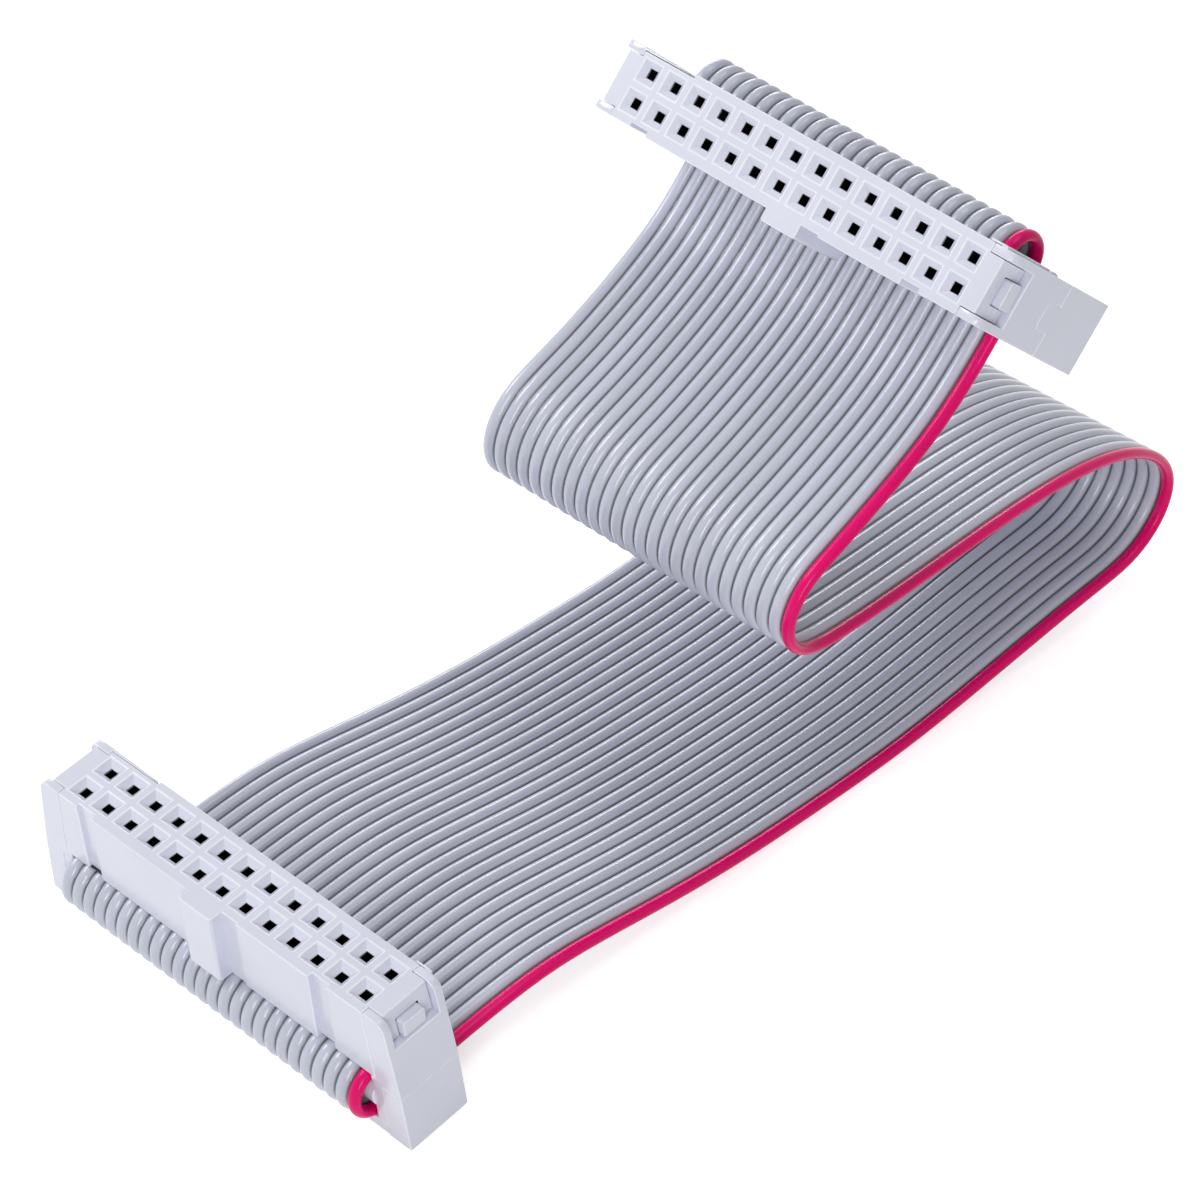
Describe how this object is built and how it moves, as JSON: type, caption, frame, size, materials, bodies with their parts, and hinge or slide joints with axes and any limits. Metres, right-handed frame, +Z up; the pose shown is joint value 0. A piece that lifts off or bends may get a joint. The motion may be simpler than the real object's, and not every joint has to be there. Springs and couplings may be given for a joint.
{
  "type": "ribbon_cable",
  "caption": "Grey flat ribbon cable with one red edge wire, folded in an S, with a white crimped female socket at each end",
  "frame": {"origin": "on the floor, under the middle of the whole cable's box", "axes": "X along the sockets and across the ribbon, Y from the lower socket at the front to the fold at the back, Z up"},
  "size_m": [0.0475, 0.0993, 0.0574],
  "materials": {
    "socket_white": "glossy moulded",
    "ribbon_grey": "glossy soft vinyl",
    "ribbon_red": "glossy soft vinyl",
    "contact_tin": "satin tin plate",
    "core_copper": "bare cut wire"
  },
  "bodies": {
    "root": {"lower_strain_relief": "socket_white", "lower_cover": "socket_white", "lower_housing": "socket_white", "lower_contacts_key_row": "contact_tin", "lower_contacts_back_row": "contact_tin", "lower_core_ends": "core_copper", "upper_strain_relief": "socket_white", "upper_cover": "socket_white", "upper_housing": "socket_white", "upper_contacts_key_row": "contact_tin", "upper_contacts_back_row": "contact_tin", "upper_core_ends": "core_copper", "ribbon_grey_wires": "ribbon_grey", "ribbon_red_wire": "ribbon_red"}
  },
  "joints": []
}
